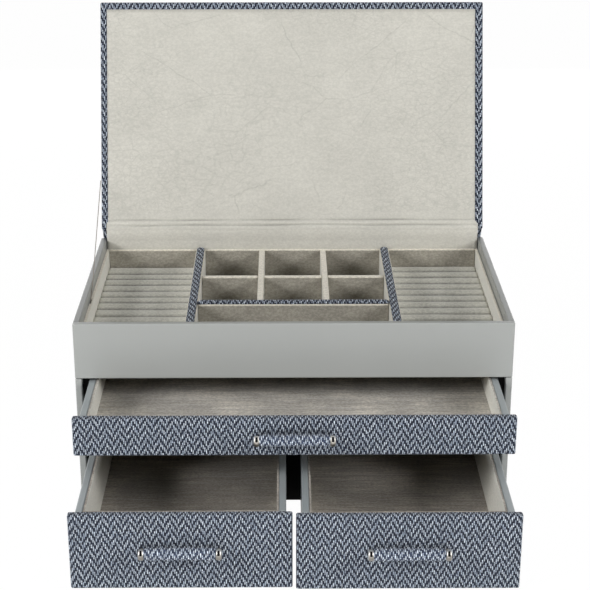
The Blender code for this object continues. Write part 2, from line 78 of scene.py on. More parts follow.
# ---- What the CAD frame gives ----
DRAWERS = ("wide_drawer", "left_drawer", "right_drawer")
PANELS = ("side_panel_left", "side_panel_right")
LACQUERED = ("fascia", "front_rail", "back_panel")
BLACK = ("base_panel", "bay_side_left", "bay_side_right", "drawer_shelf", "bay_ceiling",
         "bay_divider")
VELVET = ("tray_floor", "tray_liner_left", "tray_liner_right", "tray_liner_front",
          "tray_liner_rear", "broad_divider_left", "broad_divider_right", "broad_divider_cross",
          "cell_divider_left", "cell_divider_right", "cell_cross_divider")

RIM = corners("side_panel_left")[1].z       # top of the case's sides
FRONT = corners("fascia")[0].y              # front of the case
DIVIDER_TOP = corners("broad_divider_left")[1].z
HINGE = Vector(next(j["pos_m"] for j in frame["joints"] if j["name"] == "lid_hinge"))
LEAN = math.radians(109.3)                  # how far the lid stands open
# Takes the lid's own closed layout (Y back to the hinge, Z up) to where it rests, opened.
LID_REST = Matrix.Translation(HINGE) @ Matrix.Rotation(-LEAN, 4, 'X')

# ---- Sizes that the pieces are made to, in metres ----
COVER = 0.00012           # how far a front's cloth stands off its board
COVER_ROUGH = 0.00008     # how unevenly cloth lies on a board
BOARD_ROUND = 0.0014      # rounding of a covered board's edges
LID_THICK = 0.0070        # the lid's board with its cloth
LID_MARGIN = 0.0064       # cloth border round the lid's lining
LINING_DEPTH = 0.0081     # the lining, below the lid's outer face
LINING_BEND = 0.0015      # where the lining leaves the lid, ahead of the hinge line
LINING_GAP = 0.0007       # the lining, ahead of the back board
LINING_THICK = 0.0004
FOLD = 0.00062            # radius of the cover's fold on the hinge line
SPINE_FLARE = 0.0006      # how much wider the spine is at its top, on each side
CAP_END = 0.0016          # rounding of a divider cap's ends
CAP_STRETCH = 0.72        # pull on the weave along the side caps
ROLL_FILL = 0.955         # a roll's thickness, as a share of its grooves' spacing
ROLL_OVERLAP = 0.0002     # how far a bed of rolls reaches past its node on each side
GRIP_END = 0.0034         # rounding of a grip's ends
PULL_END = 0.62           # a pull's radius at its ends, as a share of its middle's
RING_SHARE = 0.78         # a nickel ring's width, as a share of its post's
RING_HEIGHT = 0.98        # and its height
RING_DROP = 0.0006        # a ring's middle, below its post's
DARK_SLOT_DEPTH = 0.0007
DARK_SLOT_ARC = (18, 72)       # degrees over a ring's front that its painted dark slot spans
STEM_DROP = 0.0012        # a stem's middle, below its ring's
STAY_RADIUS = 0.00035
STAY_TWIST = 0.0018       # how often the cord's two plies cross
STAY_ON_LID = (-0.0420, 0.0015 - LID_THICK)     # where it meets the lid, in the closed layout
# The stay behind the front and above the rim: over the wall, then into the slot by the liner.
STAY_BENDS = ((0.0885, 0.0010), (0.0690, -0.0085), (0.0672, -0.0200))

# Grooves between the ring rolls, in millimetres behind the case's front.
LEFT_GROOVES = (170.6, 158.6, 144.6, 130.0, 116.7, 104.5, 89.6, 74.2, 60.9, 47.2, 33.5, 20.0)
RIGHT_GROOVES = (175.6, 161.3, 146.3, 133.5, 120.1, 106.0, 92.0, 77.4, 64.2, 50.3, 36.6, 22.8)

# Folds of the lining near the hinge: height over the rim, how far outward, and reach.
LINING_FOLDS = (
    (0.0176, -0.0010, 0.0008),
    (0.0132, -0.0010, 0.0009),
    (0.0155, 0.0007, 0.0012),
    (0.0115, 0.0003, 0.0010))

# Layers of creases in the lining: shift and turn, cells, line width, the scale of the patches
# that they show in, the band of noise over which they fade in, and strength.
CREASES = (
    (0.00, 9.0, 0.006, 14.0, 0.50, 0.58, 0.90),
    (0.37, 14.0, 0.009, 21.0, 0.50, 0.58, 0.80),
    (0.71, 24.0, 0.015, 26.0, 0.50, 0.60, 0.70),
    (1.13, 42.0, 0.028, 30.0, 0.52, 0.62, 0.60),
    (1.57, 120.0, 0.09, 9.0, 0.46, 0.62, 0.45),
    (1.91, 230.0, 0.09, 14.0, 0.46, 0.62, 0.55))

WHITE = (1.0, 1.0, 1.0, 1.0)
FLOOR_TONE = (0.85, 0.85, 0.85, 1.0)
FLOOR_GLOW = 1.012        # the floor's white where it is seen, before its shadow


# ---- Small helpers ----
def looks():
    """The settings in the sidebar."""
    return bpy.context.scene.chest_looks


def clamp(value, low=0.0, high=1.0):
    return min(high, max(low, value))


def ease(share):
    """A run from 0 to 1 that starts and ends gently."""
    return share * share * (3 - 2 * share)


def rounded_end(away, radius):
    """How full a rounded end is, from 0 to 1, at a distance from its tip."""
    return math.sqrt(max(0.0, 1 - max(0.0, 1 - away / radius) ** 2))


def tone(colour, factor=1.0):
    """A colour made lighter or darker, with its alpha."""
    return (*[min(1.0, c * factor) for c in colour], 1.0)


def link(name, data):
    made = bpy.data.objects.new(name, data)
    bpy.context.scene.collection.objects.link(made)
    return made


# ---- Node helpers ----
class Graph:
    """Short names for building the nodes of a material or of the world."""

    def __init__(self, owner):
        owner.use_nodes = True
        self.owner = owner
        self.tree = owner.node_tree

    def node(self, kind, inputs=None, **settings):
        made = self.tree.nodes.new(kind)
        for key, value in settings.items():
            setattr(made, key, value)
        for key, value in (inputs or {}).items():
            self.feed(made.inputs[key], value)
        return made

    def feed(self, socket, value):
        if isinstance(value, bpy.types.NodeSocket):
            self.tree.links.new(value, socket)
        else:
            socket.default_value = value

    def surface(self, inputs):
        """Feed the material's shader, and give the material back."""
        shader = self.tree.nodes["Principled BSDF"]
        for key, value in inputs.items():
            self.feed(shader.inputs[key], value)
        return self.owner

    def math(self, operation, first, second=0.0, third=0.0):
        return self.node("ShaderNodeMath", {0: first, 1: second, 2: third},
                         operation=operation).outputs[0]

    def from_middle(self, value):
        """Nought in the middle of each whole step of value, and one at the step's ends."""
        share = self.math('FRACT', value)
        return self.math('ABSOLUTE', self.math('MULTIPLY_ADD', share, 2.0, -1.0))

    def ramp(self, value, low, high, out_low=0.0, out_high=1.0):
        return self.node("ShaderNodeMapRange",
                         {"Value": value, "From Min": low, "From Max": high, "To Min": out_low,
                          "To Max": out_high}, interpolation_type='SMOOTHSTEP').outputs["Result"]

    def mix(self, share, first, second, blend='MIX'):
        return self.node("ShaderNodeMix", {0: share, 6: first, 7: second}, data_type='RGBA',
                         blend_type=blend).outputs[2]

    def mix_shader(self, share, first, second):
        return self.node("ShaderNodeMixShader", {0: share, 1: first, 2: second}).outputs[0]

    def noise(self, vector, scale, detail=2.0, roughness=0.5, distortion=0.0):
        return self.node("ShaderNodeTexNoise",
                         {"Vector": vector, "Scale": scale, "Detail": detail,
                          "Roughness": roughness, "Distortion": distortion}).outputs["Fac"]

    def stretch(self, vector, scale):
        return self.node("ShaderNodeMapping", {"Vector": vector, "Scale": scale}).outputs[0]

    def bump(self, height, distance, strength=1.0, normal=None):
        inputs = {"Height": height, "Distance": distance, "Strength": strength}
        if normal is not None:
            inputs["Normal"] = normal
        return self.node("ShaderNodeBump", inputs).outputs[0]

    def coords(self, output):
        return self.node("ShaderNodeTexCoord").outputs[output]

    def attribute(self, name):
        return self.node("ShaderNodeAttribute", attribute_name=name).outputs["Fac"]

    def axis(self, vector, letter):
        return self.node("ShaderNodeSeparateXYZ", {0: vector}).outputs[letter]

    def facing(self, letter):
        """How far the surface looks along an axis."""
        return self.axis(self.node("ShaderNodeNewGeometry").outputs["Normal"], letter)

    def seen(self):
        """One where the eye, a mirror or a glass looks, and nought where light spreads."""
        rays = self.node("ShaderNodeLightPath").outputs
        mirrored = self.math('MAXIMUM', rays["Is Camera Ray"], rays["Is Glossy Ray"])
        return self.math('MAXIMUM', mirrored, rays["Is Transmission Ray"])


# ---- Materials ----
def cloth_material(name, lift=1.0):
    """Herringbone twill: pale floats of warp over a navy weft, in columns that zigzag.

    lift lightens both yarns as painted light, for the grips' lighter copy of the cloth.
    """
    look = looks()
    g = Graph(bpy.data.materials.new(name))
    flat = g.coords("UV")

    def strayed(letter, scale, roughness, reach):
        stray = g.math('SUBTRACT', g.noise(flat, scale, 2.0, roughness), 0.5)
        return g.math('MULTIPLY_ADD', stray, reach, g.axis(flat, letter))

    # Where a point lies in its warp yarn and in the weave's repeat.
    across = g.math('DIVIDE', strayed("X", 240.0, 0.5, look.yarn_wander), look.yarn)
    up = g.math('DIVIDE', strayed("Y", 170.0, 0.6, 2.2 * look.yarn_wander), look.repeat)
    column = g.math('FLOOR', across)
    middle = g.math('ADD', column, 0.5)
    step = g.math('PINGPONG', middle, look.yarns_per_arm)
    arm = g.math('FLOOR', g.math('DIVIDE', middle, look.yarns_per_arm))
    broken = g.math('MULTIPLY', g.math('MODULO', g.math('ABSOLUTE', arm), 2.0), 0.5)
    place = g.math('ADD', up, g.math('MULTIPLY_ADD', step, look.yarn_step, broken))
    # The warp shows where it floats, each float a little longer or shorter than the next.
    each = g.node("ShaderNodeCombineXYZ", {0: column, 1: g.math('FLOOR', place)}).outputs[0]
    chance = g.node("ShaderNodeTexWhiteNoise", {"Vector": each}, noise_dimensions='2D').outputs[0]
    start = g.math('MULTIPLY_ADD', chance, look.float_variety, 1.0 - look.float_share)
    lifted = g.math('SUBTRACT', 1.0, g.from_middle(place))
    along = g.ramp(g.math('SUBTRACT', lifted, start), -0.08, 0.20)
    warp = g.math('MULTIPLY', along, g.ramp(g.from_middle(across), 0.86, 0.32))
    pick = g.math('ABSOLUTE', g.math('SINE', g.math('MULTIPLY', up, 4.0 * math.pi)))
    weft = g.math('MULTIPLY', pick, g.ramp(g.noise(flat, 900.0), 0.35, 0.75))
    height = g.math('MAXIMUM', warp, g.math('MULTIPLY', weft, 0.30))

    thread = g.noise(g.stretch(flat, (1100.0, 650.0, 1.0)), 1.0)
    # Painted light: lift lightens the yarns.
    pale = g.mix(chance, tone(look.cloth_pale, lift), tone(look.cloth_light, lift))
    pale = g.mix(g.ramp(thread, 0.35, 0.70, 0.0, 0.75), pale, tone(look.cloth_mid))
    deep = 1.0 + 4.0 * (lift - 1.0)
    dark = g.mix(weft, tone(look.cloth_dark, deep), tone(look.cloth_navy, deep))
    colour = g.mix(g.ramp(warp, 0.14, 0.62), dark, pale)
    speckle = g.ramp(g.noise(flat, 640.0, 2.0, 0.8), 0.34, 0.66, 1.0 - look.cloth_speckle,
                     1.0 + look.cloth_speckle)
    relief = g.math('MULTIPLY_ADD', g.noise(flat, 2500.0), 0.10, height)
    return g.surface({
        "Base Color": g.mix(1.0, colour, speckle, 'MULTIPLY'),
        "Roughness": 0.88,
        "Sheen Weight": 0.12,
        "Sheen Roughness": 0.5,
        "Specular IOR Level": 0.25,
        "Normal": g.bump(relief, 0.00045)
    })


def velvet_material(name, mottle, speck, tint=(1.0, 1.0, 1.0), streak=75.0, creased=False,
                    painted_side_light=None, highlight_edge_height=None):
    """Short-pile velvet: brushed pile and a fine grain, with painted shade in folds and grooves.

    mottle is how blotched the pile is, speck how dark its grain is, and streak how short its
    strokes are along X. creased adds handling creases, darkened by painted shade. The side factor
    paints light on sideways faces, and edges above the edge height get a painted highlight.
    """
    look = looks()
    g = Graph(bpy.data.materials.new(name))
    place = g.coords("Object")
    # The tint makes lit and shaded copies of the velvet: painted light and shade.
    base = [c * t for c, t in zip(look.velvet_colour, tint)]
    clouds = g.noise(place, 26.0, 3.0, 0.55)
    strokes = g.noise(g.stretch(place, (streak, 260.0, 260.0)), 1.0, 4.0, 0.62, 0.9)
    grain = g.noise(g.stretch(place, (430.0, 620.0, 620.0)), 1.0, 2.0, 0.8)
    cloud = 0.03 if creased else 0.05 * mottle
    colour = g.mix(g.ramp(clouds, 0.34, 0.66), tone(base, 1 - cloud), tone(base, 1 + cloud))
    colour = g.mix(g.ramp(strokes, 0.36, 0.66, 0.0, 0.14 * mottle), colour, tone(base, 0.62))
    pile = strokes
    if creased:
        lines = crease_lines(g, place)
        # Painted shade: the pile is darkened along the creases.
        colour = g.mix(g.math('MULTIPLY', lines, look.painted_crease_shade), colour, tone(base, 0.50))
        pile = g.math('MULTIPLY_ADD', lines, -0.6, strokes)
    # Painted light: faces that look sideways are lightened.
    if painted_side_light:
        aside = g.math('ABSOLUTE', g.facing("X"))
        colour = g.mix(g.ramp(aside, 0.6, 0.9), colour, tone(look.velvet_colour, painted_side_light))
        speck = g.ramp(aside, 0.6, 0.9, speck, 0.4 * speck)
    # Painted highlight: edges above the given height are lightened, where light catches their tops.
    if highlight_edge_height:
        edge_highlight = g.ramp(g.axis(place, "Z"), highlight_edge_height - 0.0012, highlight_edge_height - 0.0004)
        colour = g.mix(edge_highlight, colour, tone(base, 2.0))
    # Painted light from the mesh: shade in folds and grooves above nought, highlight below it.
    pressed = g.attribute("pressed")
    colour = g.mix(g.ramp(pressed, 0.0, 1.0, 0.0, look.painted_fold_shade), colour, tone(base, 0.30))
    colour = g.mix(g.ramp(pressed, 0.0, -1.0, 0.0, 0.6), colour, tone(base, 1.40))
    shade = g.math('SUBTRACT', 1.0, g.math('MULTIPLY', g.ramp(grain, 0.32, 0.66), speck))
    coarse = g.bump(pile, 0.0004, 0.35 * mottle)
    return g.surface({
        "Base Color": g.mix(1.0, colour, shade, 'MULTIPLY'),
        "Roughness": 0.95,
        "Specular IOR Level": 0.10,
        "Sheen Weight": look.velvet_sheen,
        "Sheen Roughness": 0.45,
        "Normal": g.bump(grain, 0.00020, min(1.0, 0.6 * mottle), coarse)
    })


def crease_lines(g, place):
    """Long hairline creases and patches of fine crackle from handling, drawn in painted shade."""
    bend = g.node("ShaderNodeTexNoise", {"Vector": place, "Scale": 60.0, "Detail": 2.0})
    bent = g.node("ShaderNodeVectorMath", {0: bend.outputs["Color"], 1: (0.008, 0.008, 0.008),
                                           2: place}, operation='MULTIPLY_ADD').outputs[0]
    lines = 0.0
    for away, scale, width, patch, low, high, strength in CREASES:
        moved = g.node("ShaderNodeMapping", {"Vector": bent, "Location": (away, away, away),
                                             "Rotation": (0.0, away, 0.0),
                                             "Scale": (0.62, 1.0, 1.0)}).outputs[0]
        cells = g.node("ShaderNodeTexVoronoi", {"Vector": moved, "Scale": scale},
                       feature='DISTANCE_TO_EDGE').outputs["Distance"]
        where = g.ramp(g.noise(moved, patch), low, high, 0.0, strength)
        line = g.math('MULTIPLY', g.ramp(cells, 0.0, width, 1.0, 0.0), where)
        lines = g.math('MAXIMUM', line, lines)
    # They stop short of the folds at the hinge.
    return g.math('MULTIPLY', lines, g.ramp(g.axis(place, "Z"), RIM + 0.019, RIM + 0.028))


def lacquer_material(name, colour, painted_top_shade=None):
    """Satin lacquer with faint orange peel, and painted shade on faces that look up, by a factor."""
    look = looks()
    tint = getattr(look, colour)
    g = Graph(bpy.data.materials.new(name))
    place = g.coords("Object")
    cloud = g.noise(place, 9.0)
    coat = g.mix(cloud, tone(tint, 0.97), tone(tint, 1.03))
    # Painted shade: faces that look up are darkened.
    if painted_top_shade:
        coat = g.mix(g.ramp(g.facing("Z"), 0.7, 0.9), coat, tone(tint, painted_top_shade))
    rough = look.lacquer_roughness
    return g.surface({
        "Base Color": coat,
        "Roughness": g.ramp(cloud, 0.3, 0.7, rough - 0.03, rough + 0.03),
        "Coat Weight": 0.25,
        "Coat Roughness": 0.22,
        "Normal": g.bump(g.noise(place, 700.0, 1.0), 0.00003, 0.5)
    })


def black_material(name):
    """Matt black paper over board, with a faint grain."""
    g = Graph(bpy.data.materials.new(name))
    grain = g.noise(g.coords("Object"), 900.0)
    return g.surface({
        "Base Color": g.mix(grain, tone((0.0012,) * 3), tone((0.0035,) * 3)),
        "Roughness": 0.9,
        "Specular IOR Level": 0.15,
        "Normal": g.bump(grain, 0.00005, 0.5)
    })


def nickel_material(name):
    """Nickel, dark in front, with painted highlights on top and along its rims."""
    g = Graph(bpy.data.materials.new(name))
    wear = g.noise(g.coords("Object"), 900.0, 3.0)
    dull = g.mix(wear, (0.22, 0.21, 0.19, 1.0), (0.34, 0.32, 0.29, 1.0))
    # Painted highlight: the mesh's glint layer lightens the top and rims.
    return g.surface({
        "Base Color": g.mix(g.attribute("polish"), dull, (0.80, 0.78, 0.75, 1.0)),
        "Metallic": 1.0,
        "Roughness": g.ramp(wear, 0.3, 0.7, 0.28, 0.38)
    })


def thread_material(name):
    """Waxed cord with a pale twist."""
    g = Graph(bpy.data.materials.new(name))
    fibre = g.noise(g.coords("Object"), 3000.0)
    return g.surface({
        "Base Color": g.mix(fibre, (0.13, 0.11, 0.09, 1.0), (0.30, 0.27, 0.23, 1.0)),
        "Roughness": 0.7
    })


FINISHES = {
    "herringbone_cloth": (cloth_material, {}),
    # A lighter copy of the cloth: painted light on the grips.
    "grip_cloth": (cloth_material, {"lift": 1.3}),
    # The velvets' tints are painted light and shade: lighter on the rolls, darker and warmer in the
    # tray and drawers.
    "roll_velvet": (velvet_material, {"mottle": 1.2, "speck": 0.27, "tint": (1.33, 1.34, 1.32)}),
    "tray_velvet": (velvet_material, {
        "mottle": 1.6, "speck": 0.279, "tint": (0.755, 0.725, 0.68), "painted_side_light": 1.35,
        "highlight_edge_height": DIVIDER_TOP}),
    "creased_velvet": (velvet_material, {"mottle": 0.9, "speck": 0.117, "creased": True}),
    "brushed_velvet": (velvet_material, {
        "mottle": 5.0, "speck": 0.372, "tint": (0.98, 0.925, 0.875), "streak": 26.0,
        "painted_side_light": 1.66}),
    "deep_drawer_velvet": (velvet_material, {
        "mottle": 5.0, "speck": 0.396, "tint": (0.84, 0.765, 0.715), "streak": 22.0,
        "painted_side_light": 1.66}),
    "case_lacquer": (lacquer_material, {"colour": "case_colour"}),
    # Painted shade on the side panels' tops.
    "side_panel_lacquer": (lacquer_material, {"colour": "case_colour", "painted_top_shade": 0.74}),
    "drawer_lacquer": (lacquer_material, {"colour": "drawer_colour"}),
    "black_board": (black_material, {}),
    "polished_nickel": (nickel_material, {}),
    "stay_thread": (thread_material, {}),
}


def finish(name):
    """A finish by its material's name, made when it is first wanted."""
    make, settings = FINISHES[name]
    return bpy.data.materials.get(name) or make(name, **settings)


# ---- Mesh helpers ----
def meshed(name, shape):
    """Turn a bmesh into a mesh, with its faces looking outward."""
    bmesh.ops.recalc_face_normals(shape, faces=shape.faces)
    mesh = bpy.data.meshes.new(name)
    shape.to_mesh(mesh)
    shape.free()
    return mesh


def plant(shape, rings):
    """Turn rings of points into rows of vertices."""
    return [[shape.verts.new(point) for point in ring] for ring in rings]


def skin(shape, rows, closed=True, ends=True):
    """Skin equal rows of vertices with quads, and give the faces.

    closed joins each row's last point to its first, and ends caps the first and last rows.
    """
    count = len(rows[0])
    faces = []
    for a, b in zip(rows, rows[1:]):
        for c in range(count if closed else count - 1):
            d = (c + 1) % count
            faces.append(shape.faces.new((a[c], a[d], b[d], b[c])))
    if ends:
        faces += [shape.faces.new(row) for row in (rows[0], rows[-1])]
    return faces


def swept(name, rings, flat=None):
    """A solid skinned over rings of points; flat gives where a point's cloth would lie flat."""
    shape = bmesh.new()
    layer = shape.loops.layers.uv.new("cloth")
    count = len(rings[0])
    faces = skin(shape, plant(shape, rings))
    if flat:
        for index, face in enumerate(faces[:-2]):
            r, c = divmod(index, count)
            spots = (flat(r, c), flat(r, c + 1), flat(r + 1, c + 1), flat(r + 1, c))
            for loop, spot in zip(face.loops, spots):
                loop[layer].uv = spot
    return meshed(name, shape)


def unroll(point, normal, low, high):
    """Where a cloth wrapped round a box from its front would lie when laid flat."""
    axis = max(range(3), key=lambda n: abs(normal[n]))
    depth = point.y - low.y
    if axis == 0:
        return (high.x + depth if normal.x > 0 else low.x - depth, point.z)
    if axis == 2:
        return (point.x, high.z + depth if normal.z > 0 else low.z - depth)
    return (point.x, point.z)


def wrapped_board(name, low, high):
    """A board with rounded edges and cloth coordinates that run over them."""
    shape = bmesh.new()
    bmesh.ops.create_cube(shape, size=1.0)
    bmesh.ops.scale(shape, vec=high - low, verts=shape.verts)
    bmesh.ops.translate(shape, vec=(low + high) / 2, verts=shape.verts)
    bmesh.ops.bevel(shape, geom=shape.edges[:], offset=BOARD_ROUND, segments=4, profile=0.5,
                    affect='EDGES')
    # The flats are cut up, so that the cloth can lie a little unevenly on them.
    long_edges = [e for e in shape.edges if e.calc_length() > 0.012]
    bmesh.ops.subdivide_edges(shape, edges=long_edges, cuts=15, use_grid_fill=True)
    layer = shape.loops.layers.uv.new("cloth")
    shape.normal_update()
    for face in shape.faces:
        for loop in face.loops:
            loop[layer].uv = unroll(loop.vert.co, face.normal, low, high)
    for vert in shape.verts:
        vert.co += vert.normal * (noise.noise(vert.co * 90.0) - 1) * COVER_ROUGH
    return meshed(name, shape)


def add(name, mesh, finish_name, body=None, smooth=True):
    """Link a mesh as a piece with its finish and the body it rides."""
    made = link(name, mesh)
    mesh.materials.append(finish(finish_name))
    for polygon in mesh.polygons:
        polygon.use_smooth = smooth
    if body:
        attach(made, body)
    return made


# ---- Case and tray ----
def dress(node, finish_name):
    """Give a CAD node its finish."""
    materials = frame["nodes"][node].data.materials
    materials.clear()
    materials.append(finish(finish_name))


def dress_frame():
    """Finishes for the CAD nodes that stay in view."""
    for nodes, finish_name in ((PANELS, "side_panel_lacquer"), (LACQUERED, "case_lacquer"),
                               (BLACK, "black_board"), (VELVET, "tray_velvet")):
        for node in nodes:
            dress(node, finish_name)
    for drawer in DRAWERS:
        for part in ("side_left", "side_right", "back"):
            dress(f"{drawer}_{part}", "drawer_lacquer")
        dress(f"{drawer}_bottom", "black_board")
        dress(f"{drawer}_lining",
              "brushed_velvet" if drawer == "wide_drawer" else "deep_drawer_velvet")


def cap_strip(name, node, along_x):
    """A padded strip of herringbone cloth on top of a broad divider."""
    low, high = corners(node)
    size = high - low
    middle = (low + high) / 2
    length = size.x if along_x else size.y
    # The cross cap stays clear of the side caps, which reach just past their nodes.
    half = size.y / 2 - 0.0002 if along_x else size.x / 2 + 0.0001
    arc = 14
    stations = max(8, int(length / 0.003))
    rings = []
    for s in range(stations + 1):
        t = s / stations
        run = (low.x if along_x else low.y) + t * length
        tuck = rounded_end(min(t, 1 - t) * length, CAP_END)
        ring = []
        for a in range(arc):
            turn = math.pi * a / (arc - 1)
            swell = 1 + 0.03 * noise.noise((run * 80, a * 0.3, 0.0))
            off = math.cos(turn) * half * swell * (0.85 + 0.15 * tuck)
            lift = max(0.0, math.sin(turn)) ** 0.75 * (0.25 + 0.75 * tuck) * swell
            up = low.z + size.z * lift
            ring.append((run, middle.y - off, up) if along_x else (middle.x + off, run, up))
        rings.append(ring)
    girth = math.pi * (half + size.z) / 2

    def flat(r, c):
        run = r / stations * length
        around = (c / (arc - 1) - 0.5) * girth
        return (run, around) if along_x else (middle.x + around, run * CAP_STRETCH)

    made = add(name, swept(name, rings, flat), "herringbone_cloth", "case")
    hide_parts(node)


def roll_painted_light(spot):
    """The painted light at a spot across a roll, from its front (-1) to its back (1).

    Painted shade in the grooves, and a painted highlight (below nought) towards the roll's back.
    """
    groove = min(1.0, clamp((-spot - 0.55) / 0.35) + clamp((spot - 0.90) / 0.05))
    pale = math.exp(-((spot - 0.72) / 0.15) ** 2)
    return groove - pale * (1.0 - groove)


def ring_roll_bed(name, node, grooves):
    """Padded rolls side by side, parted at the grooves."""
    look = looks()
    low, high = corners(node)
    left = low.x - ROLL_OVERLAP
    width = high.x - low.x + 2 * ROLL_OVERLAP
    foot = low.z + 0.0005
    base = high.z - look.roll_rise
    peak = high.z + 0.0004
    cuts = [FRONT + groove / 1000 for groove in grooves]
    edges = [high.y, *[y for y in cuts if low.y < y < high.y], low.y]
    across, around = 30, 22
    shape = bmesh.new()
    pressed = shape.verts.layers.float.new("pressed")
    for roll, (back, front) in enumerate(zip(edges, edges[1:])):
        half = (back - front) / 2
        reach = half * ROLL_FILL
        rows = []
        for i in range(across + 1):
            x = left + i / across * width
            sway = noise.noise((x * 22, roll * 5.1, 0.0)) * look.roll_sway
            middle = (back + front) / 2 + sway
            ring = []
            for j in range(around + 1):
                turn = math.pi * j / around
                wave = noise.noise((x * 40, roll * 3.7, j * 0.15)) * look.roll_unevenness
                lift = max(0.0, math.sin(turn)) ** look.roll_roundness * look.roll_rise
                z = base + lift + wave * math.sin(turn)
                ring.append((x, middle + math.cos(turn) * reach, min(z, peak)))
            ring += [(x, middle - reach, foot), (x, middle + reach, foot)]
            row = [shape.verts.new(point) for point in ring]
            for vert in row:
                # Painted shade in the grooves and a painted highlight behind them.
                vert[pressed] = roll_painted_light((vert.co.y - middle) / half)
            rows.append(row)
        skin(shape, rows)
    made = add(name, meshed(name, shape), "roll_velvet", "case")
    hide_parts(node)


# ---- Drawer fronts and pulls ----
def covered_front(drawer):
    """A drawer's front board wrapped in herringbone cloth."""
    node = f"{drawer}_front"
    low, high = corners(node)
    grown = Vector((COVER, COVER, COVER))
    name = f"{drawer}_covered_front"
    made = add(name, wrapped_board(name, low - grown, high + grown), "herringbone_cloth",
               drawer)
    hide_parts(node)


def ferrule(drawer, side, bar_y):
    """A rounded nickel end piece on a flanged stem; a black slot in front is a painted reflection.
    """
    node = f"{drawer}_pull_post_{side}"
    low, high = corners(node)
    radius = (high.z - low.z) / 2 * RING_HEIGHT
    half = (high.x - low.x) / 2 * RING_SHARE
    centre = Vector(((low.x + high.x) / 2, bar_y, (low.z + high.z) / 2 - RING_DROP))
    dark_slot = looks().dark_slot_width / 2
    across = [half * share for share in (1.0, 0.97, 0.9, 0.78, 0.6, 0.42)]
    across += [dark_slot * share for share in (1.35, 1.0, 0.55, 0.0)]
    around = 72
    rings = []
    for x in sorted({round(sign * away, 7) for sign in (-1, 1) for away in across}):
        crown = max(0.0, 1 - abs(x / half) ** 2.6) ** (1 / 2.6)
        ring = []
        for c in range(around):
            turn = math.tau * c / around
            r = radius * (PULL_END + (1 - PULL_END) * crown)
            if abs(x) <= dark_slot * 1.01 and DARK_SLOT_ARC[0] < math.degrees(turn) < DARK_SLOT_ARC[1]:
                r -= DARK_SLOT_DEPTH
            ring.append(centre + Vector((x, -math.cos(turn) * r, math.sin(turn) * r)))
        rings.append(ring)
    shape = bmesh.new()
    faces = skin(shape, plant(shape, rings))
    # Painted highlight: lighter on top and along the rims, less at the very ends.
    polish = shape.verts.layers.float.new("polish")
    for vert in shape.verts:
        spot = vert.co - centre
        top = (spot.z / radius - 0.55) / 0.20
        edge = (abs(spot.x) / half - 0.72) / 0.2 * (0.55 + 0.45 * spot.z / radius)
        end = 0.35 if abs(spot.x) > half * 0.985 else 1.0
        vert[polish] = min(end, max(0.0, top, edge))
    # The slot's faces are black: a painted reflection of the dark ahead of the ring.
    for face in faces:
        spot = face.calc_center_median() - centre
        if abs(spot.x) < dark_slot * 1.2 and spot.yz.length < radius - 0.0003 and spot.y < 0:
            face.material_index = 1
    # The stem: its radius, and how far behind the ring's middle.
    foot = centre - Vector((0, 0, STEM_DROP))
    root = high.y - bar_y
    stem = ((0.0010, radius * 0.8), (0.0010, root - 0.0014), (0.0011, root - 0.0011),
            (0.0014, root - 0.0007), (0.0015, root - 0.0004), (0.0015, root))
    turns = [math.tau * c / 24 for c in range(24)]
    skin(shape, plant(shape, [[foot + Vector((r * math.cos(turn), y, r * math.sin(turn)))
                               for turn in turns] for r, y in stem]))
    name = f"{drawer}_ferrule_{side}"
    made = add(name, meshed(name, shape), "polished_nickel", drawer)
    made.data.materials.append(finish("black_board"))
    made.data.set_sharp_from_angle(angle=math.radians(40))
    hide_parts(node)


def pull(drawer):
    """A cloth-wrapped grip between two nickel end pieces."""
    node = f"{drawer}_pull_bar"
    low, high = corners(node)
    middle = (low + high) / 2
    radius = (high.z - low.z) / 2
    post_low, post_high = corners(f"{drawer}_pull_post_left")
    half = (high.x - low.x) / 2 + (post_high.x - post_low.x) / 2 * (1 - RING_SHARE)
    stations, around = 44, 28
    rings = []
    for s in range(stations + 1):
        t = -1 + 2 * s / stations
        taper = rounded_end((1 - abs(t)) * half, GRIP_END)
        r = radius * (PULL_END + (1 - PULL_END) * taper)
        ring = []
        for c in range(around):
            turn = math.tau * c / around
            fat = r * (1 + 0.02 * noise.noise((t * 9, math.cos(turn), math.sin(turn))))
            ring.append((middle.x + t * half, middle.y - math.cos(turn) * fat,
                         middle.z + math.sin(turn) * fat))
        rings.append(ring)

    def flat(r, c):
        return (middle.x + (-1 + 2 * r / stations) * half,
                math.tau * c / around * radius + middle.z)

    name = f"{drawer}_grip"
    grip = add(name, swept(name, rings, flat), "grip_cloth", drawer)
    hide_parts(node)
    for side in ("left", "right"):
        ferrule(drawer, side, middle.y)


# ---- Lid ----
def covered_lid():
    """The lid's board wrapped in cloth, outside and round the inner margin."""
    low, high = corners("lid_board")
    half = (high.x - low.x) / 2
    mesh = wrapped_board("covered_lid", Vector((-half, -LID_THICK, 0.0)),
                         Vector((half, 0.0, looks().lid_length)))
    # The board above is laid out standing up: its length along Z and its thickness along Y.
    stand = Matrix(((1, 0, 0, 0), (0, 0, -1, 0), (0, 1, 0, 0), (0, 0, 0, 1)))
    mesh.transform(LID_REST @ stand)
    made = add("covered_lid", mesh, "herringbone_cloth", "lid")
    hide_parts("lid_board")


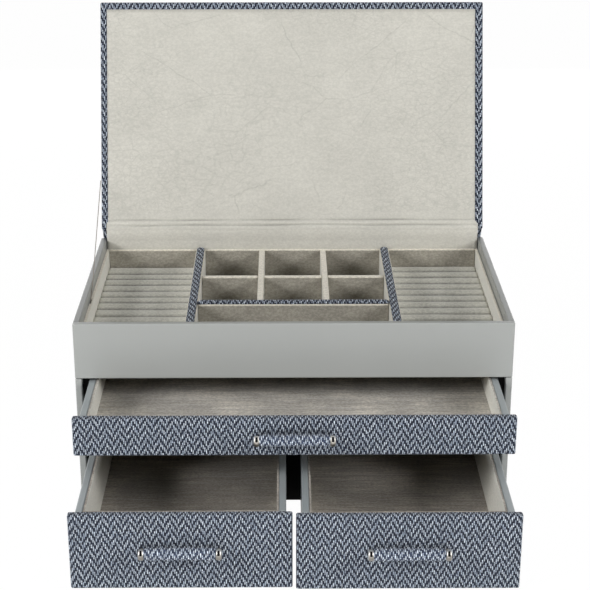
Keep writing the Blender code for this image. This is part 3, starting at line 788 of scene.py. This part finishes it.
def lining_path():
    """The lining's middle line, from the lid's far margin over the hinge and down behind.

    Gives its points, where it leaves the lid, and where it meets the back board.
    """
    top = LID_REST @ Vector((0, LID_MARGIN - looks().lid_length, -LINING_DEPTH))
    bend = LID_REST @ Vector((0, -LINING_BEND, -LINING_DEPTH))
    wall = corners("back_panel")[0].y - LINING_GAP
    over = Vector((0, wall, RIM - 0.001))
    tail = Vector((0, wall, corners("hinge_cloth")[0].z))
    # Points lie closer together over the last stretch of the lid, where the folds are.
    plain_part = 1 - 0.026 / (bend - top).length
    shares = [plain_part * i / 45 for i in range(45)]
    shares += [plain_part + (1 - plain_part) * i / 72 for i in range(73)]
    line = [top.lerp(bend, share) for share in shares]
    onward = bend + (bend - top).normalized() * 0.004
    above = over + Vector((0, 0, 0.005))
    for i in range(1, 17):
        t = i / 16
        line.append(bend.lerp(onward, t).lerp(above.lerp(over, t), ease(t)))
    line += [over.lerp(tail, i / 8) for i in range(1, 9)]
    return line, bend, over


def lining_fold(x, up):
    """How far the lining folds outward at a height over the rim, and the painted light there."""
    fold = 0.0
    # Painted light: lightened low over the rim, darkened where a fold sinks, lightened where it
    # rises.
    painted_mark = -0.45 * clamp((0.0118 - up) / 0.003)
    for centre, depth, reach in LINING_FOLDS:
        sway = 0.0009 * noise.noise((x * 18, centre * 400, 0.0))
        near = (up - centre - sway) / reach
        strength = 0.70 + 0.6 * noise.noise((x * 30, centre * 900, 2.0))
        swell = strength * math.exp(-near * near)
        fold += depth * swell
        painted_mark -= depth / 0.0010 * 0.8 * swell
    return fold, clamp(painted_mark, -1.0, 1.0)


def lining_sheet():
    """Velvet lining of the lid, carried on as the cloth hinge down the back board."""
    look = looks()
    line, bend, over = lining_path()
    low, high = corners("hinge_cloth")
    half = (high.x - low.x) / 2 + 0.0001
    board_low, board_high = corners("lid_board")
    lid_half = (board_high.x - board_low.x) / 2 - LID_MARGIN
    across = 120
    shape = bmesh.new()
    pressed = shape.verts.layers.float.new("pressed")
    rows = []
    for r, spot in enumerate(line):
        down = (line[min(len(line) - 1, r + 1)] - line[max(0, r - 1)]).normalized()
        out = Vector((0, down.z, -down.y))
        up = spot.z - RIM
        on_lid = clamp((up - 0.0135) / 0.0040)
        wide = half + (lid_half - half) * ease(on_lid)
        fade = clamp((up + 0.004) / 0.006)
        row = []
        for c in range(across + 1):
            x = wide * (-1 + 2 * c / across) + look.lining_shift * on_lid
            fold, painted_mark = lining_fold(x, up)
            crumple = noise.fractal((x * 26, up * 30, 0.0), 0.8, 2.1, 4) * look.lining_crumple
            vert = shape.verts.new(spot + Vector((x, 0, 0)) + out * (fold + crumple) * fade)
            vert[pressed] = painted_mark
            row.append(vert)
        rows.append(row)
    skin(shape, rows, closed=False, ends=False)
    made = add("lid_and_hinge_lining", meshed("lid_and_hinge_lining", shape), "creased_velvet")
    solid = made.modifiers.new("cloth", 'SOLIDIFY')
    solid.thickness = LINING_THICK
    solid.offset = 0.0
    length = sum((b - a).length for a, b in zip(line, line[1:]))
    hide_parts("lid_lining", "hinge_cloth")
    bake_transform(made)


def spine():
    """Herringbone cloth over the card behind the fold, and the fold's roll on the hinge line."""
    low, high = corners("spine_strip")
    half = (high.x - low.x) / 2
    steps, across = 12, 40
    shares = [-1 + 2 * c / across for c in range(across + 1)]
    shape = bmesh.new()
    layer = shape.loops.layers.uv.new("cloth")
    rings = []
    for i in range(steps + 1):
        z = low.z + (high.z - low.z) * i / steps
        wide = half - SPINE_FLARE + SPINE_FLARE * max(0.0, (z - RIM) / (high.z - RIM))
        rings.append([(share * wide, low.y, z) for share in shares]
                     + [(share * wide, high.y, z) for share in reversed(shares)])
    rows = plant(shape, rings)
    skin(shape, rows, ends=False)
    last = 2 * across + 1
    for row in (rows[0], rows[-1]):
        for c in range(across):
            shape.faces.new((row[c], row[c + 1], row[last - c - 1], row[last - c]))
    rolls = []
    for c, share in enumerate(shares):
        x = half * share
        r = FOLD * (0.55 if c in (0, across) else 1.0 + 0.08 * noise.noise((x * 60, 0.0, 0.0)))
        turns = [math.tau * k / 12 for k in range(12)]
        rolls.append([HINGE + Vector((x, r * math.cos(turn), r * math.sin(turn)))
                      for turn in turns])
    skin(shape, plant(shape, rolls))
    for face in shape.faces:
        for loop in face.loops:
            loop[layer].uv = (loop.vert.co.x, loop.vert.co.z)
    made = add("covered_spine", meshed("covered_spine", shape), "herringbone_cloth",
               "case", smooth=False)
    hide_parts("spine_strip")


def stay_route():
    """The stay's points: lid's edge, over the wall, into the slot behind the liner."""
    low, high = corners("lid_stay")
    upper = LID_REST @ Vector((0, *STAY_ON_LID))
    route = [Vector((low.x + STAY_RADIUS, upper.y, upper.z))]
    return route + [Vector((high.x - STAY_RADIUS, FRONT + back, RIM + up))
                    for back, up in STAY_BENDS]


def stay():
    """A fine two-ply cord, taut between the lid and the case."""
    points = stay_route()
    line = []
    for a, b in zip(points, points[1:]):
        steps = max(2, int((b - a).length / 0.0004))
        line += [a.lerp(b, i / steps) for i in range(steps)]
    line.append(points[-1])
    rings = []
    run = 0.0
    for i, spot in enumerate(line):
        if i:
            run += (spot - line[i - 1]).length
        ahead = (line[min(i + 1, len(line) - 1)] - line[max(i - 1, 0)]).normalized()
        side = ahead.cross(Vector((0, 0, 1))).normalized()
        up = side.cross(ahead)
        ring = []
        for c in range(10):
            turn = math.tau * c / 10
            lobe = 0.86 + 0.14 * math.cos(2 * turn - run * math.tau / STAY_TWIST)
            ring.append(spot + (side * math.cos(turn) + up * math.sin(turn)) * STAY_RADIUS * lobe)
        rings.append(ring)
    made = add("stay_cord", swept("stay_cord", rings), "stay_thread")
    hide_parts("lid_stay")
    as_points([tuple(p) for p in line[::12]] + [tuple(line[-1])])
    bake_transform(made)


# ---- Stage ----
def aimed(direction):
    return direction.to_track_quat('-Z', 'Y')


def set_camera():
    """A camera in front of the chest, looking down into its tray."""
    look = looks()
    data = bpy.data.cameras.new("camera")
    data.sensor_width = 36.0
    data.lens = look.lens
    camera = link("camera", data)
    camera.location = Vector((0, FRONT, RIM)) + Vector(look.camera_from_rim)
    yaw, pitch, roll = (math.radians(a) for a in look.camera_angles)
    ahead = Vector((math.sin(yaw) * math.cos(pitch), math.cos(yaw) * math.cos(pitch),
                    -math.sin(pitch)))
    turn = aimed(ahead).to_matrix().to_4x4() @ Matrix.Rotation(-roll, 4, 'Z')
    camera.rotation_euler = turn.to_euler()
    bpy.context.scene.camera = camera
    bpy.context.scene.view_settings.view_transform = 'Standard'


def set_surround():
    """White where the eye, a mirror or a glass looks, and a soft even light elsewhere."""
    world = bpy.data.worlds.new("surround")
    bpy.context.scene.world = world
    g = Graph(world)
    soft = g.tree.nodes["Background"]
    g.feed(soft.inputs["Color"], WHITE)
    g.feed(soft.inputs["Strength"], looks().surround)
    bright = g.node("ShaderNodeBackground", {"Color": WHITE, "Strength": 1.0})
    mixed = g.mix_shader(g.seen(), soft.outputs[0], bright.outputs[0])
    g.feed(g.tree.nodes["World Output"].inputs["Surface"], mixed)


def lay_floor():
    """A white floor that keeps a little of the chest's shadow."""
    shape = bmesh.new()
    bmesh.ops.create_grid(shape, x_segments=8, y_segments=8, size=2.5)
    bmesh.ops.translate(shape, vec=(0, 0, -0.0002), verts=shape.verts)
    floor = link("floor", meshed("floor", shape))
    g = Graph(bpy.data.materials.new("white_paper"))
    floor.data.materials.append(g.surface({"Base Color": FLOOR_TONE, "Roughness": 0.9}))
    glow = g.node("ShaderNodeEmission", {"Strength": FLOOR_GLOW}).outputs[0]
    share = g.math('MULTIPLY', g.seen(), 1.0 - looks().floor_shadow)
    paper = g.tree.nodes["Principled BSDF"].outputs[0]
    g.feed(g.tree.nodes["Material Output"].inputs["Surface"], g.mix_shader(share, paper, glow))


def set_lights():
    """Soft boxes in front, at both sides, above and behind, all aimed at the rim."""
    look = looks()
    aside, ahead, above = look.side_place
    for name, place, size, power in (
            ("front_box", look.front_place, (1.5, 0.16), look.front_power),
            ("left_box", (-aside, ahead, above), (0.60, 0.48), look.left_power),
            ("right_box", (aside, ahead, above), (0.60, 0.48), look.right_power),
            ("top_box", look.top_place, (0.45, 0.45), look.top_power),
            ("back_box", look.back_place, (1.5, 0.30), look.back_power)):
        lamp = bpy.data.lights.new(name, 'AREA')
        lamp.shape = 'RECTANGLE'
        lamp.size, lamp.size_y = size
        lamp.energy = power
        made = link(name, lamp)
        made.location = place
        made.rotation_euler = aimed(Vector((0, 0, RIM)) - Vector(place)).to_euler()


# ---- Add-on ----
class ChestLooks(bpy.types.PropertyGroup):
    """Settings of the chest's looks."""
    yarn: FloatProperty(
        name="Yarn", description="Width of one warp yarn", default=0.00121, subtype='DISTANCE',
        unit='LENGTH')
    yarns_per_arm: FloatProperty(
        name="Yarns per arm", description="Yarns before the weave turns", default=4.0)
    yarn_step: FloatProperty(
        name="Yarn step", description="Rise per yarn, in repeats", default=0.282)
    repeat: FloatProperty(
        name="Repeat", description="Height of the weave's repeat", default=0.00682,
        subtype='DISTANCE', unit='LENGTH')
    float_share: FloatProperty(
        name="Float", description="Share of the repeat a float covers", default=0.68,
        subtype='FACTOR')
    float_variety: FloatProperty(
        name="Float variety", description="How unequal the floats are", default=0.16,
        subtype='FACTOR')
    yarn_wander: FloatProperty(
        name="Yarn wander", description="How far the yarns stray", default=0.0009,
        subtype='DISTANCE', unit='LENGTH')
    cloth_speckle: FloatProperty(
        name="Speckle", description="Unevenness of the yarns' tone", default=0.50,
        subtype='FACTOR')
    cloth_pale: FloatVectorProperty(
        name="Pale yarn", description="Linear colour", size=3, default=(0.325, 0.373, 0.44),
        subtype='COLOR')
    cloth_light: FloatVectorProperty(
        name="Light yarn", description="Linear colour", size=3, default=(0.64, 0.69, 0.75),
        subtype='COLOR')
    cloth_mid: FloatVectorProperty(
        name="Mid yarn", description="Linear colour", size=3, default=(0.20, 0.24, 0.31),
        subtype='COLOR')
    cloth_dark: FloatVectorProperty(
        name="Dark yarn", description="Linear colour", size=3, default=(0.012, 0.016, 0.028),
        subtype='COLOR')
    cloth_navy: FloatVectorProperty(
        name="Navy yarn", description="Linear colour", size=3, default=(0.030, 0.040, 0.065),
        subtype='COLOR')
    velvet_colour: FloatVectorProperty(
        name="Velvet", description="Linear colour", size=3, default=(0.535, 0.522, 0.472),
        subtype='COLOR')
    velvet_sheen: FloatProperty(
        name="Velvet sheen", description="Sheen weight", default=0.5, subtype='FACTOR')
    # The end pieces' black slot, a painted reflection.
    dark_slot_width: FloatProperty(
        name="Seam", description="Width of the seam in a pull's end piece", default=0.0017,
        subtype='DISTANCE', unit='LENGTH')
    # Painted shade: how dark folds and grooves are painted.
    painted_fold_shade: FloatProperty(
        name="Pressed tone", description="How dark pressed pile is", default=0.60,
        subtype='FACTOR')
    # Painted shade along the lining's creases.
    painted_crease_shade: FloatProperty(
        name="Crease tone", description="How dark the creases are", default=0.34, subtype='FACTOR')
    case_colour: FloatVectorProperty(
        name="Case", description="Linear colour", size=3, default=(0.305, 0.315, 0.305),
        subtype='COLOR')
    drawer_colour: FloatVectorProperty(
        name="Drawer sides", description="Linear colour", size=3, default=(0.325, 0.355, 0.365),
        subtype='COLOR')
    lacquer_roughness: FloatProperty(
        name="Lacquer roughness", description="Roughness", default=0.38, subtype='FACTOR')
    roll_rise: FloatProperty(
        name="Roll rise", description="Groove to crest", default=0.0058, subtype='DISTANCE',
        unit='LENGTH')
    roll_roundness: FloatProperty(
        name="Roll roundness", description="Lower is squarer", default=0.36)
    roll_sway: FloatProperty(
        name="Roll sway", description="How far a groove strays", default=0.0005,
        subtype='DISTANCE', unit='LENGTH')
    roll_unevenness: FloatProperty(
        name="Roll unevenness", description="Height variation", default=0.0004, subtype='DISTANCE',
        unit='LENGTH')
    lining_crumple: FloatProperty(
        name="Lining crumple", description="Depth of soft creases", default=0.00012,
        subtype='DISTANCE', unit='LENGTH')
    lining_shift: FloatProperty(
        name="Lining shift", description="Lining off the lid's middle", default=-0.0006,
        subtype='DISTANCE', unit='LENGTH')
    lid_length: FloatProperty(
        name="Lid length", description="Hinge to front edge", default=0.1942, subtype='DISTANCE',
        unit='LENGTH')
    lens: FloatProperty(
        name="Lens", description="Focal length in millimetres", default=93.15, unit='CAMERA')
    camera_from_rim: FloatVectorProperty(
        name="Camera", description="From the rim's front centre", size=3,
        default=(-0.007608, -1.052645, 0.427220), subtype='TRANSLATION', unit='LENGTH')
    camera_angles: FloatVectorProperty(
        name="Camera angles", description="Yaw, pitch and roll in degrees", size=3,
        default=(0.4549, 21.0213, -0.0023))
    surround: FloatProperty(name="Surround", description="Light from all round", default=0.018)
    floor_shadow: FloatProperty(
        name="Floor shadow", description="How strongly the floor shades", default=0.025,
        subtype='FACTOR')
    front_place: FloatVectorProperty(
        name="Front box", description="Place of the low front light", size=3,
        default=(0.0, -1.60, 0.165), subtype='TRANSLATION', unit='LENGTH')
    side_place: FloatVectorProperty(
        name="Side boxes", description="Place of the right-hand light", size=3,
        default=(1.30, -0.75, 0.77), subtype='TRANSLATION', unit='LENGTH')
    top_place: FloatVectorProperty(
        name="Top box", description="Place of the top light", size=3, default=(0.0, -0.12, 1.40),
        subtype='TRANSLATION', unit='LENGTH')
    back_place: FloatVectorProperty(
        name="Back box", description="Place of the light behind", size=3,
        default=(0.0, 1.50, 0.19), subtype='TRANSLATION', unit='LENGTH')
    front_power: FloatProperty(name="Front power", description="Watts", default=10.4, unit='POWER')
    left_power: FloatProperty(name="Left power", description="Watts", default=18.2, unit='POWER')
    right_power: FloatProperty(name="Right power", description="Watts", default=15.4, unit='POWER')
    top_power: FloatProperty(name="Top power", description="Watts", default=1.8, unit='POWER')
    back_power: FloatProperty(name="Back power", description="Watts", default=6.5, unit='POWER')


class CHEST_OT_frame(bpy.types.Operator):
    """Give the CAD boards their lacquer, velvet and black"""
    bl_idname = "chest.frame"
    bl_label = "Finish the frame"

    def execute(self, context):
        dress_frame()
        return {'FINISHED'}


class CHEST_OT_tray(bpy.types.Operator):
    """Add the cloth caps and the ring rolls"""
    bl_idname = "chest.tray"
    bl_label = "Dress the tray"

    def execute(self, context):
        cap_strip("cloth_cap_left", "divider_cap_left", False)
        cap_strip("cloth_cap_right", "divider_cap_right", False)
        cap_strip("cloth_cap_cross", "divider_cap_cross", True)
        ring_roll_bed("ring_pads_left", "ring_rolls_left", LEFT_GROOVES)
        ring_roll_bed("ring_pads_right", "ring_rolls_right", RIGHT_GROOVES)
        return {'FINISHED'}


class CHEST_OT_drawers(bpy.types.Operator):
    """Cover the drawer fronts and wrap the pulls"""
    bl_idname = "chest.drawers"
    bl_label = "Cover the drawers"

    def execute(self, context):
        for drawer in DRAWERS:
            covered_front(drawer)
            pull(drawer)
        return {'FINISHED'}


class CHEST_OT_lid(bpy.types.Operator):
    """Cover and line the lid, and hang its stay"""
    bl_idname = "chest.lid"
    bl_label = "Cover the lid"

    def execute(self, context):
        covered_lid()
        lining_sheet()
        spine()
        stay()
        return {'FINISHED'}


class CHEST_OT_stage(bpy.types.Operator):
    """Set the camera, lights and white surround"""
    bl_idname = "chest.stage"
    bl_label = "Set the stage"

    def execute(self, context):
        set_camera()
        set_surround()
        lay_floor()
        set_lights()
        return {'FINISHED'}


class CHEST_PT_looks(bpy.types.Panel):
    """Buttons and settings for the chest's looks"""
    bl_label = "Jewellery chest"
    bl_idname = "CHEST_PT_looks"
    bl_space_type = 'VIEW_3D'
    bl_region_type = 'UI'
    bl_category = "Chest"

    def draw(self, context):
        column = self.layout.column()
        for operator in STEPS:
            column.operator(operator.bl_idname)
        for name in ChestLooks.__annotations__:
            column.prop(context.scene.chest_looks, name)


STEPS = (CHEST_OT_frame, CHEST_OT_tray, CHEST_OT_drawers, CHEST_OT_lid, CHEST_OT_stage)
CLASSES = (ChestLooks, *STEPS, CHEST_PT_looks)


def register():
    for item in CLASSES:
        bpy.utils.register_class(item)
    bpy.types.Scene.chest_looks = PointerProperty(type=ChestLooks)


def unregister():
    del bpy.types.Scene.chest_looks
    for item in reversed(CLASSES):
        bpy.utils.unregister_class(item)


def main():
    register()
    bpy.ops.chest.stage()
    bpy.ops.chest.frame()
    bpy.ops.chest.tray()
    bpy.ops.chest.drawers()
    bpy.ops.chest.lid()


if __name__ == "__main__":
    main()
